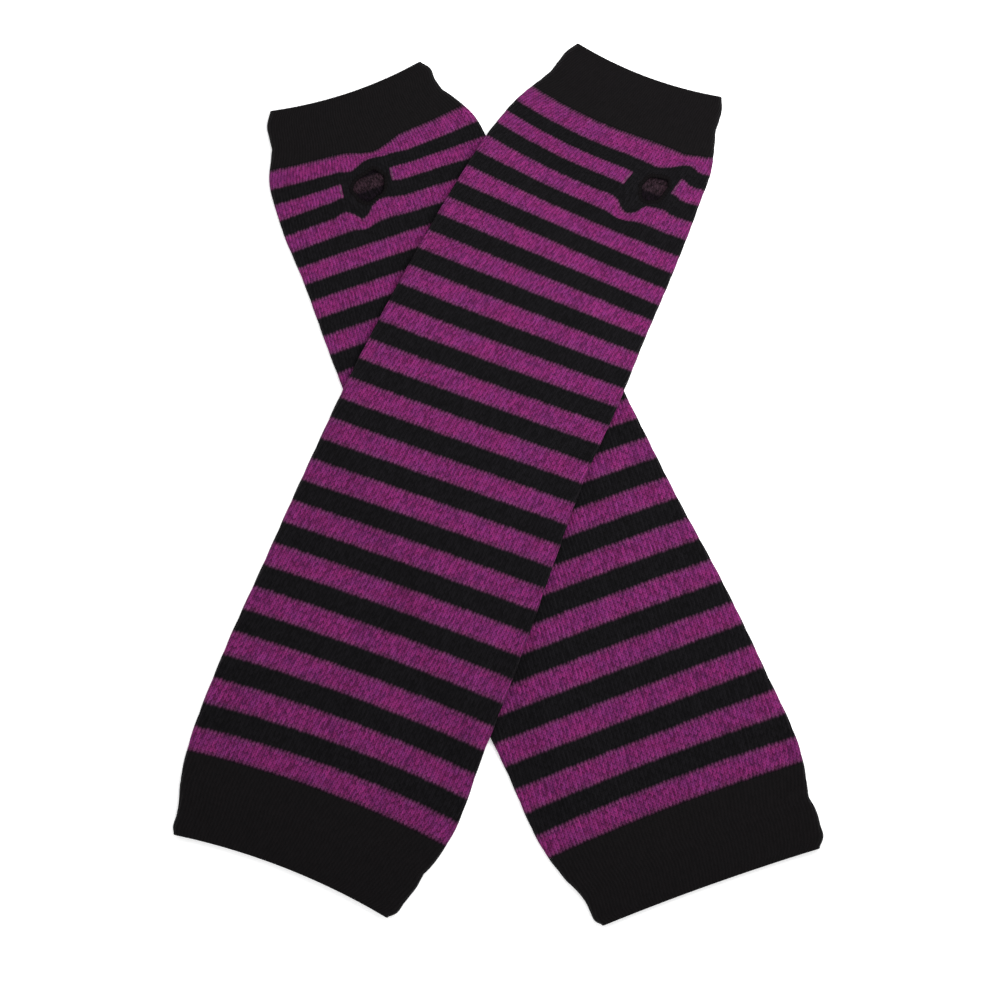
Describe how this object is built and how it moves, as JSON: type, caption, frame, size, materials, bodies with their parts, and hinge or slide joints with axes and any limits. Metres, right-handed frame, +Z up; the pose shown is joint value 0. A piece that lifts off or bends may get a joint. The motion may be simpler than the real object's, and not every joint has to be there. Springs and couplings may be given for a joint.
{
  "type": "pair of knitted arm warmers",
  "caption": "Striped knitted arm warmers with thumb holes, a left and a right, laid flat and crossed.",
  "frame": {"origin": "middle of the pair's footprint, on the surface that it lies on", "axes": "+Z up from the surface, +Y towards the hand hems, +X to the right seen from above"},
  "size_m": [0.2447, 0.3336, 0.0063],
  "materials": {
    "striped_knit": "heathered purple and black jersey stripes, matt",
    "black_welt_knit": "doubled black knit, matt",
    "black_edging": "rolled black yarn edging, matt"
  },
  "bodies": {
    "root": {"over_arm_cuff": "black_welt_knit", "over_sleeve": "striped_knit", "over_hand_cuff": "black_welt_knit", "over_thumb_edge": "black_edging", "under_arm_cuff": "black_welt_knit", "under_sleeve": "striped_knit", "under_hand_cuff": "black_welt_knit", "under_thumb_edge": "black_edging"}
  },
  "joints": []
}
